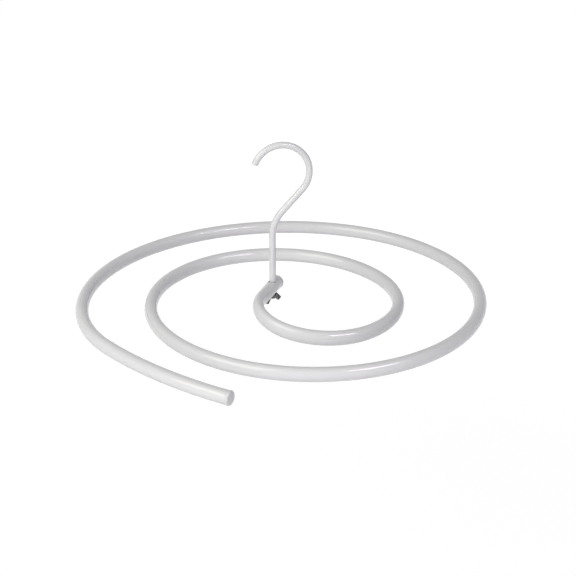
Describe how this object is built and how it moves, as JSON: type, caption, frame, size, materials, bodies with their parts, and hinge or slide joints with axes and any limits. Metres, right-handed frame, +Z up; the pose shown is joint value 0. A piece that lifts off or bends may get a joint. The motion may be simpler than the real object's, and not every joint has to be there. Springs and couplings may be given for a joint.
{
  "type": "spiral sheet hanger",
  "caption": "Flat spiral of coated steel tube with plugged ends, hung from a rod hook that a wing nut clamps under its inner end; for drying sheets.",
  "frame": {"origin": "inside top of the hook's crook, where the rail bears", "axes": "+Z up as the hanger hangs; the crook lies in the XZ plane with its tip towards -X, so the rail runs along Y; the spiral is level, at -Z"},
  "size_m": [0.4935, 0.4792, 0.2046],
  "materials": {
    "coated_steel": "smooth gloss white coating",
    "plug_plastic": "satin moulded white plastic",
    "zinc_plate": "dull zinc plate"
  },
  "bodies": {
    "hook": {"hook_rod": "coated_steel"},
    "spiral": {"spiral_tube": "coated_steel", "inner_end_plug": "plug_plastic", "outer_end_plug": "plug_plastic"},
    "washer": {"washer": "zinc_plate"},
    "wing_nut": {"wing_nut": "zinc_plate"}
  },
  "joints": [
    {"name": "hook_swivel", "type": "hinge", "parent": "hook", "child": "spiral", "pos_m": [-0.01088, 0, -0.17193], "axis": [0, 0, 1], "continuous": true},
    {"name": "washer_travel", "type": "slide", "parent": "hook", "child": "washer", "axis": [0, 0, -1], "range_m": [0, 0.0024]},
    {"name": "wing_nut_turn", "type": "hinge", "parent": "washer", "child": "wing_nut", "pos_m": [-0.01088, 0, -0.18153], "axis": [0, 0, -1], "range_deg": [0, 1080]}
  ],
  "couplings": [
    {"joint": "washer_travel", "follows": "wing_nut_turn", "m_per_rad": 0.00012732}
  ]
}
